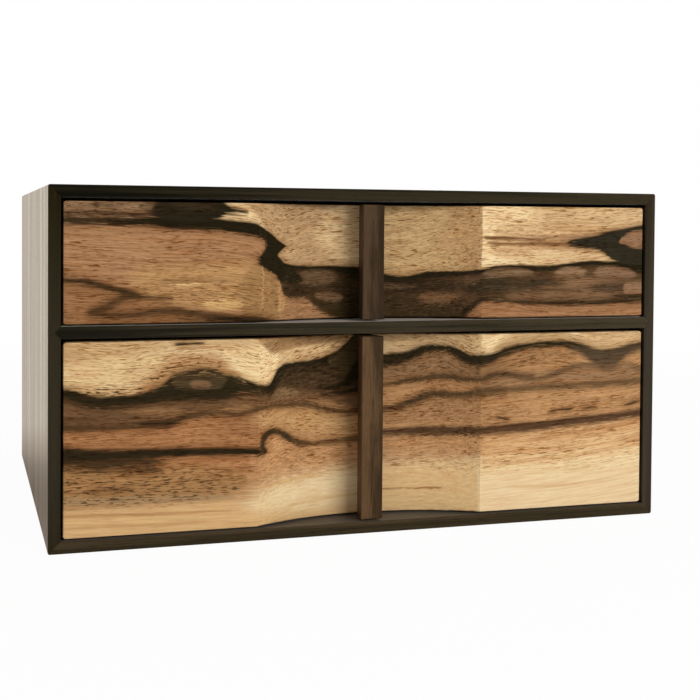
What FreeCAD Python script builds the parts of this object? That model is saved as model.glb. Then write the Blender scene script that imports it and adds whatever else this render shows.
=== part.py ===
"""A small tabletop chest with two drawers, in millimetres.

The origin is at the middle of the underside. +Z is up, the drawers open towards -Y, and +X is to the
right for someone who faces the drawers. Four mitred boards make the case. A rail and a panel divide it,
and each drawer is a box behind a thick hollowed front with an upright pull bar.
"""
import FreeCAD
import Part
import math
import os

# Case
WIDTH = 350.0  # outside, left to right
DEPTH = 285.0  # outside, front to back
CASE_BOARD = 6.5  # thickness of the top, bottom and side boards
LOWER_OPENING = 104.2  # clear height for the lower drawer
UPPER_OPENING = 66.3  # clear height for the upper drawer
CASE_CORNER_ROUND = 1.2  # radius along the four long outside corners
CASE_EDGE_EASE = 0.7  # rounding round the outside of the front and rear edges
MOUTH_EDGE_EASE = 0.4  # rounding round the inside of each drawer opening

# Loose splines hidden in the mitres
SPLINE_THICKNESS = 1.5
SPLINE_WIDTH = 5.0  # half of it in each board
SPLINE_SETBACK = 2.5  # of its middle from the inside corner, across each board
SPLINE_STOP = 9.0  # from the front edge and from the back panel

# Divider between the drawers
DIVIDER_THICKNESS = 6.5
DIVIDER_HOUSING = 2.5  # how deep the divider is let into each side board
RAIL_DEPTH = 32.0  # of the dark front rail, front to back
SWORD_TIP_DEPTH = 5.0  # how far behind the front edge the rail's pointed ends reach
RAIL_TONGUE_THICKNESS = 2.2
RAIL_TONGUE_LENGTH = 4.0

# Back panel
BACK_PANEL_THICKNESS = 4.0
BACK_PANEL_INSET = 6.0  # from the case's rear edges
BACK_PANEL_TONGUE = 3.0  # how deep the panel is let into the boards
PANEL_PLAY = 0.3  # room left round the edges of a panel for the wood to swell

# Drawer stops at the back of each opening
STOP_WIDTH = 20.0
STOP_DEPTH = 4.0
STOP_HEIGHT = 8.0
STOP_INSET = 15.0  # from the side board
STOP_GAP = 0.3  # between a closed drawer and its stops

# Drawer fronts
FRONT_SETBACK = 1.0  # of the flats behind the case's front edges
FRONT_SIDE_GAP = 1.2
FRONT_TOP_GAP = 1.9
FRONT_BOTTOM_GAP = 0.9
HOLLOW_WIDTH = 129.6  # between the two creases
HOLLOW_DEPTH = 17.5  # of the middle of the hollow behind the flats
PULL_HOUSING = 3.0  # how deep the pull's foot is let into the hollow
FRONT_WALL = 3.5  # wood left behind the pull's foot
FRONT_CORNER_ROUND = 1.5
FRONT_EDGE_EASE = 0.7

# Pulls
PULL_WIDTH = 12.7
PULL_FOOT_WIDTH = 6.0
PULL_EDGE_EASE = 0.7

# Countersunk pull screws
SCREW_INSET = 14.0  # of each screw from the pull's end
SCREW_RADIUS = 1.4
SCREW_HEAD_RADIUS = 2.8
SCREW_REACH = 8.0  # how far a screw goes into the pull
SCREW_CLEARANCE = 0.06
SCREW_SLOT_WIDTH = 0.7
SCREW_SLOT_DEPTH = 0.7

# Drawer boxes
RUNNING_CLEARANCE = 0.3  # under the drawer's sides
SIDE_TOP_CLEARANCE = 2.5  # above the drawer's sides
DRAWER_SIDE = 6.0
DRAWER_BACK = 6.0
FRONT_LAP = 8.0  # of the front that covers the ends of the sides
DRAWER_BOTTOM = 3.5
DRAWER_BOTTOM_RISE = 4.0  # of the bottom panel above the sides' lower edges
DRAWER_GROOVE = 3.0  # how deep the bottom panel is let into the box
RIM_EASE = 0.8  # rounding along the upper edges of the sides and back
UPPER_FINGERS = 3
LOWER_FINGERS = 5

# Wooden pegs through the sides
PEG_RADIUS = 1.1
PEG_REACH = 8.0  # how far a peg goes into the front or the back
PEG_CLEARANCE = 0.03

# Places that follow from these sizes
LOWER_FLOOR = CASE_BOARD
LOWER_CEILING = LOWER_FLOOR + LOWER_OPENING
UPPER_FLOOR = LOWER_CEILING + DIVIDER_THICKNESS
UPPER_CEILING = UPPER_FLOOR + UPPER_OPENING
HEIGHT = UPPER_CEILING + CASE_BOARD

RIGHT = WIDTH / 2  # outside of the right side board
INNER_RIGHT = RIGHT - CASE_BOARD
CASE_FRONT = -DEPTH / 2
CASE_REAR = DEPTH / 2
PANEL_REAR = CASE_REAR - BACK_PANEL_INSET
PANEL_FRONT = PANEL_REAR - BACK_PANEL_THICKNESS

FLAT_FRONT = CASE_FRONT + FRONT_SETBACK
HOLLOW_BOTTOM = FLAT_FRONT + HOLLOW_DEPTH
FOOT_REAR = HOLLOW_BOTTOM + PULL_HOUSING
FRONT_REAR = FOOT_REAR + FRONT_WALL
DRAWER_RIGHT = INNER_RIGHT - FRONT_SIDE_GAP
DRAWER_INNER_RIGHT = DRAWER_RIGHT - DRAWER_SIDE
DRAWER_REAR = PANEL_FRONT - STOP_DEPTH - STOP_GAP
DRAWER_BACK_FRONT = DRAWER_REAR - DRAWER_BACK
SIDE_FRONT = FLAT_FRONT + FRONT_LAP


TOUCH = 1e-6  # places closer than this are the same


def vector(x, y, z):
    return FreeCAD.Vector(x, y, z)


def block(x, y, z):
    """A box from three (low, high) pairs."""
    return Part.makeBox(x[1] - x[0], y[1] - y[0], z[1] - z[0], vector(x[0], y[0], z[0]))


def prism(points, length):
    """A closed outline of points, run along the vector length."""
    return Part.Face(Part.makePolygon(points + points[:1])).extrude(length)


def mirrored(shape):
    """The same piece on the other side of the chest."""
    return shape.mirror(vector(0, 0, 0), vector(1, 0, 0))


def edges_at(shape, axis, place):
    """The edges that lie wholly at one place along an axis: 0 for x, 1 for y, 2 for z."""
    found = []
    for edge in shape.Edges:
        middle = edge.valueAt((edge.FirstParameter + edge.LastParameter) / 2)
        spots = [vertex.Point for vertex in edge.Vertexes] + [middle]
        if all(abs(spot[axis] - place) <= TOUCH for spot in spots):
            found.append(edge)
    return found


def edges_along(shape, axis):
    """The straight or curved edges that set out along one axis: 0 for x, 1 for y, 2 for z."""
    return [edge for edge in shape.Edges if abs(edge.tangentAt(edge.FirstParameter)[axis]) > 0.99]


def eased(shape, edges, radius):
    """The shape with the given edges rounded."""
    return shape.makeFillet(radius, edges)


def save(name, shape):
    """Write one node. A group of like fasteners stays a compound of separate solids."""
    solids = shape.removeSplitter().Solids
    piece = solids[0] if len(solids) == 1 else Part.makeCompound(solids)
    bad = [solid for solid in solids if not solid.isValid() or solid.Volume <= 0]
    assert solids and not bad, name + " isn't a sound solid"
    piece.exportStep("parts/" + name + ".step")
    print(name, len(solids), "solid(s),", round(piece.Volume / 1000, 2), "cm3")


# ---- The case: one shell, shaped as a whole and then divided along its joints

def case_shell():
    """All four boards and the divider as they look once glued up, with their eased edges."""
    shell = block((-RIGHT, RIGHT), (CASE_FRONT, CASE_REAR), (0, HEIGHT))
    shell = eased(shell, edges_along(shell, 1), CASE_CORNER_ROUND)
    ends = edges_at(shell, 1, CASE_FRONT) + edges_at(shell, 1, CASE_REAR)
    shell = eased(shell, ends, CASE_EDGE_EASE)
    for low, high in ((LOWER_FLOOR, LOWER_CEILING), (UPPER_FLOOR, UPPER_CEILING)):
        opening = block((-INNER_RIGHT, INNER_RIGHT), (CASE_FRONT, CASE_REAR), (low, high))
        shell = shell.cut(opening)
    mouths = [edge for edge in edges_at(shell, 1, CASE_FRONT)
              if abs(edge.CenterOfMass.x) <= INNER_RIGHT + TOUCH
              and LOWER_FLOOR - TOUCH <= edge.CenterOfMass.z <= UPPER_CEILING + TOUCH]
    return eased(shell, mouths, MOUTH_EDGE_EASE)


def mitre_wedge(top):
    """The space of the top board, or of the bottom board, between its two mitres."""
    outside, inside = (HEIGHT, UPPER_CEILING) if top else (0, LOWER_FLOOR)
    outline = [
        vector(-RIGHT, CASE_FRONT, outside),
        vector(RIGHT, CASE_FRONT, outside),
        vector(INNER_RIGHT, CASE_FRONT, inside),
        vector(-INNER_RIGHT, CASE_FRONT, inside),
    ]
    return prism(outline, vector(0, DEPTH, 0))


def divider_space(front, rear):
    """The divider's own space from front to rear, with the housings in the side boards."""
    reach = INNER_RIGHT + DIVIDER_HOUSING
    return block((-reach, reach), (front, rear), (LOWER_CEILING, UPPER_FLOOR))


def sword_tips():
    """The rail's front end: between the side boards, with a pointed tip into each."""
    middle = (LOWER_CEILING + UPPER_FLOOR) / 2
    point = INNER_RIGHT + DIVIDER_THICKNESS / 2
    outline = [
        vector(-INNER_RIGHT, CASE_FRONT, LOWER_CEILING),
        vector(INNER_RIGHT, CASE_FRONT, LOWER_CEILING),
        vector(point, CASE_FRONT, middle),
        vector(INNER_RIGHT, CASE_FRONT, UPPER_FLOOR),
        vector(-INNER_RIGHT, CASE_FRONT, UPPER_FLOOR),
        vector(-point, CASE_FRONT, middle),
    ]
    return prism(outline, vector(0, SWORD_TIP_DEPTH, 0))


def corner_spline(top):
    """The loose spline of one right-hand mitre."""
    x = INNER_RIGHT + SPLINE_SETBACK
    z = UPPER_CEILING + SPLINE_SETBACK if top else LOWER_FLOOR - SPLINE_SETBACK
    front = CASE_FRONT + SPLINE_STOP
    rear = PANEL_FRONT - SPLINE_STOP
    spline = block(
        (-SPLINE_WIDTH / 2, SPLINE_WIDTH / 2), (front, rear), (-SPLINE_THICKNESS / 2, SPLINE_THICKNESS / 2)
    )
    spline.rotate(vector(0, 0, 0), vector(0, 1, 0), 45 if top else -45)
    spline.translate(vector(x, 0, z))
    return spline


def back_panel(play=0.0):
    """The panel, or with play the space that its grooves leave for it."""
    reach = BACK_PANEL_TONGUE - PANEL_PLAY + play
    return block(
        (-INNER_RIGHT - reach, INNER_RIGHT + reach),
        (PANEL_FRONT, PANEL_REAR),
        (LOWER_FLOOR - reach, UPPER_CEILING + reach),
    )


def rail_groove():
    """The groove along the rail's rear edge that takes the divider panel's tongue."""
    middle = (LOWER_CEILING + UPPER_FLOOR) / 2
    reach = INNER_RIGHT + DIVIDER_HOUSING
    rear = CASE_FRONT + RAIL_DEPTH
    return block(
        (-reach, reach),
        (rear - RAIL_TONGUE_LENGTH, rear),
        (middle - RAIL_TONGUE_THICKNESS / 2, middle + RAIL_TONGUE_THICKNESS / 2),
    )


def make_case():
    shell = case_shell()
    rail_rear = CASE_FRONT + RAIL_DEPTH
    rail_space = sword_tips().fuse(divider_space(CASE_FRONT + SWORD_TIP_DEPTH, rail_rear))
    panel_space = divider_space(rail_rear, PANEL_FRONT)
    panel_groove = back_panel(play=PANEL_PLAY)
    splines = {}
    for height, top in (("top", True), ("bottom", False)):
        right = corner_spline(top)
        splines["corner_spline_" + height + "_right"] = right
        splines["corner_spline_" + height + "_left"] = mirrored(right)
    cuts = [rail_space, panel_space, panel_groove] + list(splines.values())
    top_wedge = mitre_wedge(top=True)
    bottom_wedge = mitre_wedge(top=False)
    save("top_board", shell.common(top_wedge).cut(cuts))
    save("bottom_board", shell.common(bottom_wedge).cut(cuts))
    sides = shell.cut([top_wedge, bottom_wedge] + cuts)
    between = block((-INNER_RIGHT, INNER_RIGHT), (CASE_FRONT, CASE_REAR), (LOWER_CEILING, UPPER_FLOOR))
    sides = sides.cut(between)
    right_half = block((0, RIGHT), (CASE_FRONT, CASE_REAR), (0, HEIGHT))
    save("right_side_board", sides.common(right_half))
    save("left_side_board", sides.cut(right_half))
    for name, spline in splines.items():
        save(name, spline)
    save("divider_rail", shell.common(rail_space).cut(rail_groove()))
    save("divider_panel", shell.common(panel_space).fuse(rail_groove()))
    save("back_panel", back_panel())


def make_stops(level, floor):
    right_edge = INNER_RIGHT - STOP_INSET
    stop = block(
        (right_edge - STOP_WIDTH, right_edge),
        (PANEL_FRONT - STOP_DEPTH, PANEL_FRONT),
        (floor, floor + STOP_HEIGHT),
    )
    save(level + "_stop_right", stop)
    save(level + "_stop_left", mirrored(stop))


# ---- The drawers

def hollow_radius():
    """Radius of the arc that is HOLLOW_WIDTH across and HOLLOW_DEPTH deep."""
    half = HOLLOW_WIDTH / 2
    return (half ** 2 + HOLLOW_DEPTH ** 2) / (2 * HOLLOW_DEPTH)


def hollow_surface(x):
    """Y of the hollow's surface at a place across the front."""
    radius = hollow_radius()
    return HOLLOW_BOTTOM - radius + math.sqrt(radius ** 2 - x ** 2)


def front_outline(z):
    """The front seen from above: two flats with a round hollow between them."""
    half = HOLLOW_WIDTH / 2
    left_crease = vector(-half, FLAT_FRONT, z)
    right_crease = vector(half, FLAT_FRONT, z)
    corners = [
        vector(DRAWER_RIGHT, FLAT_FRONT, z),
        vector(DRAWER_RIGHT, FRONT_REAR, z),
        vector(-DRAWER_RIGHT, FRONT_REAR, z),
        vector(-DRAWER_RIGHT, FLAT_FRONT, z),
    ]
    hollow = Part.Arc(left_crease, vector(0, HOLLOW_BOTTOM, z), right_crease).toShape()
    straights = [Part.makeLine(a, b) for a, b in zip([right_crease] + corners, corners + [left_crease])]
    return Part.Wire([hollow] + straights)


def front_blank(low, high):
    """The solid front with its rounded corners and eased face, before any joint is cut."""
    blank = Part.Face(front_outline(low)).extrude(vector(0, 0, high - low))
    blank = eased(blank, edges_along(blank, 1), FRONT_CORNER_ROUND)
    creases = [edge for edge in edges_along(blank, 2) if abs(edge.CenterOfMass.x) < DRAWER_RIGHT - TOUCH]
    rim = [edge for edge in blank.Edges
           if all(abs(vertex.Point.y - FLAT_FRONT) <= TOUCH for vertex in edge.Vertexes)
           and not any(edge.isSame(crease) for crease in creases)]
    return eased(blank, rim, FRONT_EDGE_EASE)


def pull_bar(low, high):
    """An upright bar as wide as a fingertip in front, undercut to a narrow foot in the hollow."""
    wide = PULL_WIDTH / 2
    foot = PULL_FOOT_WIDTH / 2
    undercut_end = hollow_surface(foot)
    outline = [
        vector(-wide, FLAT_FRONT, low),
        vector(wide, FLAT_FRONT, low),
        vector(foot, undercut_end, low),
        vector(foot, FOOT_REAR, low),
        vector(-foot, FOOT_REAR, low),
        vector(-foot, undercut_end, low),
    ]
    bar = prism(outline, vector(0, 0, high - low))
    return eased(bar, edges_at(bar, 1, FLAT_FRONT), PULL_EDGE_EASE)


def pull_foot_space(low, high):
    """The housing that the pull's foot fills."""
    foot = PULL_FOOT_WIDTH / 2
    return block((-foot, foot), (hollow_surface(foot), FOOT_REAR), (low, high))


def turned_screw(z, clearance=0.0):
    """A countersunk screw in from the drawer's inside, or with clearance the hole for it."""
    radius = SCREW_RADIUS + clearance
    head_radius = SCREW_HEAD_RADIUS + clearance
    head_height = head_radius - radius
    start = vector(0, FRONT_REAR, z)
    inwards = vector(0, -1, 0)
    head = Part.makeCone(head_radius, radius, head_height, start, inwards)
    shank = Part.makeCylinder(radius, FRONT_WALL + SCREW_REACH + clearance, start, inwards)
    return head.fuse(shank)


def screw_slot(z):
    half = SCREW_SLOT_WIDTH / 2
    return block(
        (-SCREW_HEAD_RADIUS, SCREW_HEAD_RADIUS),
        (FRONT_REAR - SCREW_SLOT_DEPTH, FRONT_REAR),
        (z - half, z + half),
    )


def bottom_panel(box_low, play=0.0):
    """A drawer's bottom panel, or with play the space that its grooves leave for it."""
    reach = DRAWER_GROOVE - PANEL_PLAY + play
    low = box_low + DRAWER_BOTTOM_RISE
    return block(
        (-DRAWER_INNER_RIGHT - reach, DRAWER_INNER_RIGHT + reach),
        (FRONT_REAR - reach, DRAWER_BACK_FRONT + reach),
        (low, low + DRAWER_BOTTOM),
    )


def side_blank(box_low, box_high):
    """The right side at its full length, with its upper edges eased."""
    blank = block((DRAWER_INNER_RIGHT, DRAWER_RIGHT), (SIDE_FRONT, DRAWER_REAR), (box_low, box_high))
    rim = [edge for edge in edges_at(blank, 2, box_high) if edge.Length > DRAWER_SIDE + TOUCH]
    return eased(blank, rim, RIM_EASE)


def back_blank(box_low, box_high):
    """The back at its full width, with its upper edges eased between the sides."""
    blank = block(
        (-DRAWER_INNER_RIGHT, DRAWER_INNER_RIGHT),
        (DRAWER_BACK_FRONT, DRAWER_REAR),
        (box_low, box_high),
    )
    rim = [edge for edge in edges_at(blank, 2, box_high) if edge.Length > DRAWER_BACK + TOUCH]
    blank = eased(blank, rim, RIM_EASE)
    for side in ((-DRAWER_RIGHT, -DRAWER_INNER_RIGHT), (DRAWER_INNER_RIGHT, DRAWER_RIGHT)):
        blank = blank.fuse(block(side, (DRAWER_BACK_FRONT, DRAWER_REAR), (box_low, box_high)))
    return blank


def finger_spans(box_low, box_high, count):
    """The heights of the fingers of a rear corner, from the lowest up. Every other one is the side's."""
    step = (box_high - box_low) / count
    return [(box_low + i * step, box_low + (i + 1) * step) for i in range(count)]


def corner_fingers(spans):
    """Both rear corners of a drawer, over the given heights."""
    fingers = []
    for low, high in spans:
        right = block((DRAWER_INNER_RIGHT, DRAWER_RIGHT), (DRAWER_BACK_FRONT, DRAWER_REAR), (low, high))
        fingers += [right, mirrored(right)]
    return fingers


def pegs(spans, box_low, clearance=0.0):
    """The pegs of all four corners, one through each of the side's fingers, or the holes for them."""
    panel_top = box_low + DRAWER_BOTTOM_RISE + DRAWER_BOTTOM
    length = DRAWER_SIDE + PEG_REACH + clearance
    made = []
    for low, high in spans:
        z = (max(low, panel_top) + high) / 2
        for y in ((SIDE_FRONT + FRONT_REAR) / 2, (DRAWER_BACK_FRONT + DRAWER_REAR) / 2):
            outer_end = vector(DRAWER_RIGHT, y, z)
            right = Part.makeCylinder(PEG_RADIUS + clearance, length, outer_end, vector(-1, 0, 0))
            made += [right, mirrored(right)]
    return made


def make_drawer(level, floor, ceiling, fingers):
    front_low = floor + FRONT_BOTTOM_GAP
    front_high = ceiling - FRONT_TOP_GAP
    box_low = floor + RUNNING_CLEARANCE
    box_high = ceiling - SIDE_TOP_CLEARANCE
    screw_heights = (front_low + SCREW_INSET, front_high - SCREW_INSET)
    spans = finger_spans(box_low, box_high, fingers)
    groove = bottom_panel(box_low, play=PANEL_PLAY)
    peg_holes = pegs(spans[::2], box_low, PEG_CLEARANCE)
    screw_holes = [turned_screw(z, SCREW_CLEARANCE) for z in screw_heights]

    side = side_blank(box_low, box_high)
    front = front_blank(front_low, front_high)
    rebate = block((DRAWER_INNER_RIGHT, DRAWER_RIGHT), (SIDE_FRONT, FRONT_REAR), (front_low, front_high))
    front = front.cut([rebate, mirrored(rebate), pull_foot_space(front_low, front_high), groove])
    save(level + "_drawer_front", front.cut(screw_holes + peg_holes))
    save(level + "_drawer_pull", pull_bar(front_low, front_high).cut(screw_holes))
    screws = [turned_screw(z).cut(screw_slot(z)) for z in screw_heights]
    save(level + "_pull_screws", Part.makeCompound(screws))

    right_side = side.cut([groove] + corner_fingers(spans[1::2]) + peg_holes)
    save(level + "_drawer_right_side", right_side)
    save(level + "_drawer_left_side", mirrored(right_side))
    back = back_blank(box_low, box_high)
    save(level + "_drawer_back", back.cut([groove] + corner_fingers(spans[::2]) + peg_holes))
    save(level + "_drawer_bottom", bottom_panel(box_low))
    save(level + "_drawer_pegs", Part.makeCompound(pegs(spans[::2], box_low)))


os.makedirs("parts", exist_ok=True)
make_case()
make_stops("upper", UPPER_FLOOR)
make_stops("lower", LOWER_FLOOR)
make_drawer("upper", UPPER_FLOOR, UPPER_CEILING, UPPER_FINGERS)
make_drawer("lower", LOWER_FLOOR, LOWER_CEILING, LOWER_FINGERS)
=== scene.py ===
# A small tabletop chest of two drawers, dressed for a plain studio picture.
# Lengths are in metres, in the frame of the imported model, unless a name ends in MM.
import math

import bmesh
import bpy
from mathutils import Matrix, Vector


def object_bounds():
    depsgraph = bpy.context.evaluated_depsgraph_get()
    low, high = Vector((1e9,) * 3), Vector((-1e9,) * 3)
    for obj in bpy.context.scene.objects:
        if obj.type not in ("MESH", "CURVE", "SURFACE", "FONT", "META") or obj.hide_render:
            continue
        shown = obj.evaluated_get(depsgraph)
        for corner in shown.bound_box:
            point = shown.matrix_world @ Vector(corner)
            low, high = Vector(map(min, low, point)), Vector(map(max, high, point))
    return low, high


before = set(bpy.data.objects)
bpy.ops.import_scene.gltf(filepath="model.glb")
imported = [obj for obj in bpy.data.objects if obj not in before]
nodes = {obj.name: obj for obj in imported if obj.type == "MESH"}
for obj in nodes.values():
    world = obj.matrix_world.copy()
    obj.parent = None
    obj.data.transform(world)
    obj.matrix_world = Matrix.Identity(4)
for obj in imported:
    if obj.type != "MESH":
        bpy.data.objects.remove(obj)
chest_low, chest_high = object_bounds()

# ---- Camera
# It stands to the left of the chest's middle, a little below the top board, and looks to the right and down.
CAMERA_LEFT_OF_MIDDLE = 0.2171
CAMERA_BEFORE_FRONT = 0.6511
CAMERA_HEIGHT = 0.1698
CAMERA_TURN = math.radians(17.32)
CAMERA_TIP_DOWN = math.radians(1.484)
CAMERA_ROLL = math.radians(0.4206)
CAMERA_LENS = 64.14
CAMERA_SENSOR = 36.0
CAMERA_SHIFT_UP = -0.1312

camera_data = bpy.data.cameras.new("camera")
camera_data.lens = CAMERA_LENS
camera_data.sensor_width = CAMERA_SENSOR
camera_data.shift_y = CAMERA_SHIFT_UP
camera = bpy.data.objects.new("camera", camera_data)
camera_place = Vector((-CAMERA_LEFT_OF_MIDDLE, chest_low.y - CAMERA_BEFORE_FRONT, CAMERA_HEIGHT))
camera_turn = (
    Matrix.Rotation(-CAMERA_TURN, 4, "Z")
    @ Matrix.Rotation(math.radians(90) - CAMERA_TIP_DOWN, 4, "X")
    @ Matrix.Rotation(CAMERA_ROLL, 4, "Z")
)
camera.matrix_world = Matrix.Translation(camera_place) @ camera_turn
bpy.context.scene.collection.objects.link(camera)
bpy.context.scene.camera = camera

# ---- Studio
# A wide white floor in a white room that is dimmer behind the camera. A soft lamp stands in front on the
# right, a weaker one on the left. The camera and the polish see floor and room as white, shadow apart.
FLOOR_REACH = 6.0
FLOOR_COLOUR = (0.90, 0.90, 0.90, 1)
FLOOR_WARM = (0.82, 0.62, 0.46, 1)
FLOOR_NEAR = 0.3
FLOOR_FAR = 1.4
FLOOR_SEEN = (0.96, 1.0)
FLOOR_MIRRORED = (0.14, 1.0)
FLOOR_MIRRORED_NEAR = 0.15
FLOOR_MIRRORED_FAR = 0.38
POLISH_WHITE = (1.0, 0.88, 0.74, 1)
ROOM_WHITE = (1.0, 0.965, 0.92, 1)
ROOM_DIM = (0.074, 0.062, 0.04, 1)
ROOM_LIGHT = 0.5
KEY_LAMP_PLACE = Vector((0.90, -1.75, 0.68))
KEY_LAMP_SIZE = (1.5, 0.45)
KEY_LAMP_POWER = 27.0
TOP_LAMP_PLACE = Vector((0.15, -0.95, 1.15))
TOP_LAMP_SIZE = (0.8, 0.3)
TOP_LAMP_POWER = 2.5
FILL_LAMP_PLACE = Vector((-1.3, -1.6, 0.9))
FILL_LAMP_SIZE = (1.2, 1.2)
FILL_LAMP_POWER = 5.6


def join(tree, source, target):
    """Sets an input from a number, a colour or another node's output."""
    if isinstance(source, bpy.types.NodeSocket):
        tree.links.new(source, target)
    else:
        target.default_value = source


def add(tree, kind, **settings):
    """A new shader node with its own settings."""
    node = tree.nodes.new("ShaderNode" + kind)
    for setting, value in settings.items():
        setattr(node, setting, value)
    return node


def set_inputs(node, settings):
    """Gives inputs of a node their constant values."""
    for name, value in settings.items():
        node.inputs[name].default_value = value


def calc(tree, operation, first, second):
    """A value worked out from two others."""
    node = add(tree, "Math", operation=operation)
    join(tree, first, node.inputs[0])
    join(tree, second, node.inputs[1])
    return node.outputs[0]


def plus(tree, first, second):
    return calc(tree, "ADD", first, second)


def minus(tree, first, second):
    return calc(tree, "SUBTRACT", first, second)


def times(tree, first, second):
    return calc(tree, "MULTIPLY", first, second)


def spread(tree, value, low, high, new_low=0.0, new_high=1.0):
    """Carries a value from one range to another, smoothly and without leaving it."""
    node = add(tree, "MapRange", interpolation_type="SMOOTHSTEP", clamp=False)
    join(tree, value, node.inputs["Value"])
    set_inputs(node, {"From Min": low, "From Max": high, "To Min": new_low, "To Max": new_high})
    return node.outputs[0]


def laid_over(tree, share, below, above, blend="MIX"):
    """One colour over another, by a share from 0 to 1."""
    node = add(tree, "Mix", data_type="RGBA", blend_type=blend)
    join(tree, share, node.inputs["Factor"])
    join(tree, below, node.inputs[6])
    join(tree, above, node.inputs[7])
    return node.outputs[2]


def parts_of(tree, vector):
    """The three numbers of a vector."""
    node = add(tree, "SeparateXYZ")
    join(tree, vector, node.inputs[0])
    return node.outputs


def vector_of(tree, *values):
    """A vector made of three numbers."""
    node = add(tree, "CombineXYZ")
    for value, target in zip(values, node.inputs):
        join(tree, value, target)
    return node.outputs[0]


def new_finish(name):
    """A material with its node tree and its shader."""
    finish = bpy.data.materials.new(name)
    finish.use_nodes = True
    return finish, finish.node_tree, finish.node_tree.nodes["Principled BSDF"]


floor_mesh = bmesh.new()
bmesh.ops.create_grid(floor_mesh, x_segments=1, y_segments=1, size=FLOOR_REACH,
                      matrix=Matrix.Translation((0, 0, chest_low.z)))
floor_data = bpy.data.meshes.new("floor")
floor_mesh.to_mesh(floor_data)
floor_mesh.free()
floor = bpy.data.objects.new("floor", floor_data)
bpy.context.scene.collection.objects.link(floor)
floor_paint, tree, shader = new_finish("floor_paint")
set_inputs(shader, {"Roughness": 0.9, "Specular IOR Level": 0.1})
rays = add(tree, "LightPath")
distance = add(tree, "VectorMath", operation="LENGTH")
join(tree, add(tree, "TexCoord").outputs["Object"], distance.inputs[0])
distance = distance.outputs["Value"]
mirror_ray = calc(tree, "MAXIMUM", rays.outputs["Is Glossy Ray"], rays.outputs["Is Transmission Ray"])
join(tree, laid_over(tree, mirror_ray, FLOOR_COLOUR, FLOOR_WARM), shader.inputs["Base Color"])
seen = spread(tree, distance, FLOOR_NEAR, FLOOR_FAR, *FLOOR_SEEN)
seen = times(tree, rays.outputs["Is Camera Ray"], seen)
mirrored = spread(tree, distance, FLOOR_MIRRORED_NEAR, FLOOR_MIRRORED_FAR, *FLOOR_MIRRORED)
mirrored = times(tree, mirror_ray, mirrored)
glow = add(tree, "Emission")
join(tree, laid_over(tree, mirror_ray, (1, 1, 1, 1), POLISH_WHITE), glow.inputs["Color"])
both = add(tree, "MixShader")
join(tree, calc(tree, "MAXIMUM", seen, mirrored), both.inputs[0])
join(tree, shader.outputs[0], both.inputs[1])
join(tree, glow.outputs[0], both.inputs[2])
join(tree, both.outputs[0], tree.nodes["Material Output"].inputs["Surface"])
floor_data.materials.append(floor_paint)

room = bpy.data.worlds.new("room")
room.use_nodes = True
tree = room.node_tree
look = parts_of(tree, add(tree, "TexCoord").outputs["Generated"])
behind_camera = spread(tree, look["Y"], 0.1, -0.75)
rays = add(tree, "LightPath")
light = laid_over(tree, rays.outputs["Is Glossy Ray"], ROOM_WHITE, POLISH_WHITE)
light = laid_over(tree, behind_camera, light, ROOM_DIM)
light = laid_over(tree, rays.outputs["Is Camera Ray"], light, (1, 1, 1, 1))
join(tree, light, tree.nodes["Background"].inputs["Color"])
room_strength = plus(tree, times(tree, rays.outputs["Is Diffuse Ray"], ROOM_LIGHT - 1), 1.0)
join(tree, room_strength, tree.nodes["Background"].inputs["Strength"])
bpy.context.scene.world = room


def add_lamp(name, place, size, power, aim, mirrored):
    """A flat lamp turned to a point, which the polish mirrors or doesn't."""
    data = bpy.data.lights.new(name, "AREA")
    data.shape = "RECTANGLE"
    data.size, data.size_y = size
    data.energy = power
    lamp = bpy.data.objects.new(name, data)
    lamp.matrix_world = Matrix.Translation(place) @ (place - aim).to_track_quat("Z", "Y").to_matrix().to_4x4()
    lamp.visible_glossy = mirrored
    bpy.context.scene.collection.objects.link(lamp)


chest_middle = (chest_low + chest_high) / 2
add_lamp("key_lamp", KEY_LAMP_PLACE, KEY_LAMP_SIZE, KEY_LAMP_POWER, chest_middle, False)
add_lamp("fill_lamp", FILL_LAMP_PLACE, FILL_LAMP_SIZE, FILL_LAMP_POWER, chest_middle, True)
add_lamp("top_lamp", TOP_LAMP_PLACE, TOP_LAMP_SIZE, TOP_LAMP_POWER, chest_middle, True)
bpy.context.scene.view_settings.view_transform = "Standard"

# ---- Case boards
# Four boards of dark, oiled hardwood, mitred at the corners and glued. The grain runs along the top and the
# bottom and up the sides; the polish is thin, so that the pores still show.
CASE_TONES = ((19, 16, 0), (36, 28, 5))
TOP_TONES = ((6, 6, 0), (47, 41, 26))
BOTTOM_TONES = ((43, 37, 22), (70, 58, 41))
# The right side board has lighter tones than the left: a painted reflection of the light from the right.
RIGHT_SIDE_PAINTED_REFLECTION_TONES = ((33, 27, 17), (53, 44, 31))
CASE_PORE = (12, 10, 6)
CASE_FIBRE_MM = 0.55
CASE_GLOSS = 0.36
SIDE_GLOSS = 0.18

MM = 0.001
ALONG_X, ALONG_Y, ALONG_Z = 0, 1, 2


def paint(red, green, blue):
    """A colour written as a painter's 0 to 255 values."""
    def straight(value):
        value /= 255
        return value / 12.92 if value <= 0.04045 else ((value + 0.055) / 1.055) ** 2.4
    return straight(red), straight(green), straight(blue), 1.0


def grain_noise(tree, place, length_mm, width_mm, way, detail=2.0, shift=0.0):
    """Noise drawn out along the grain, as fibres, pores and growth lines are."""
    reach = [1 / (width_mm * MM)] * 3
    reach[way] = 1 / (length_mm * MM)
    mapping = add(tree, "Mapping")
    set_inputs(mapping, {"Scale": reach, "Location": (shift, shift, shift)})
    join(tree, place, mapping.inputs["Vector"])
    noise = add(tree, "TexNoise")
    set_inputs(noise, {"Scale": 1.0, "Detail": detail})
    join(tree, mapping.outputs[0], noise.inputs["Vector"])
    return noise.outputs[0]


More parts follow.
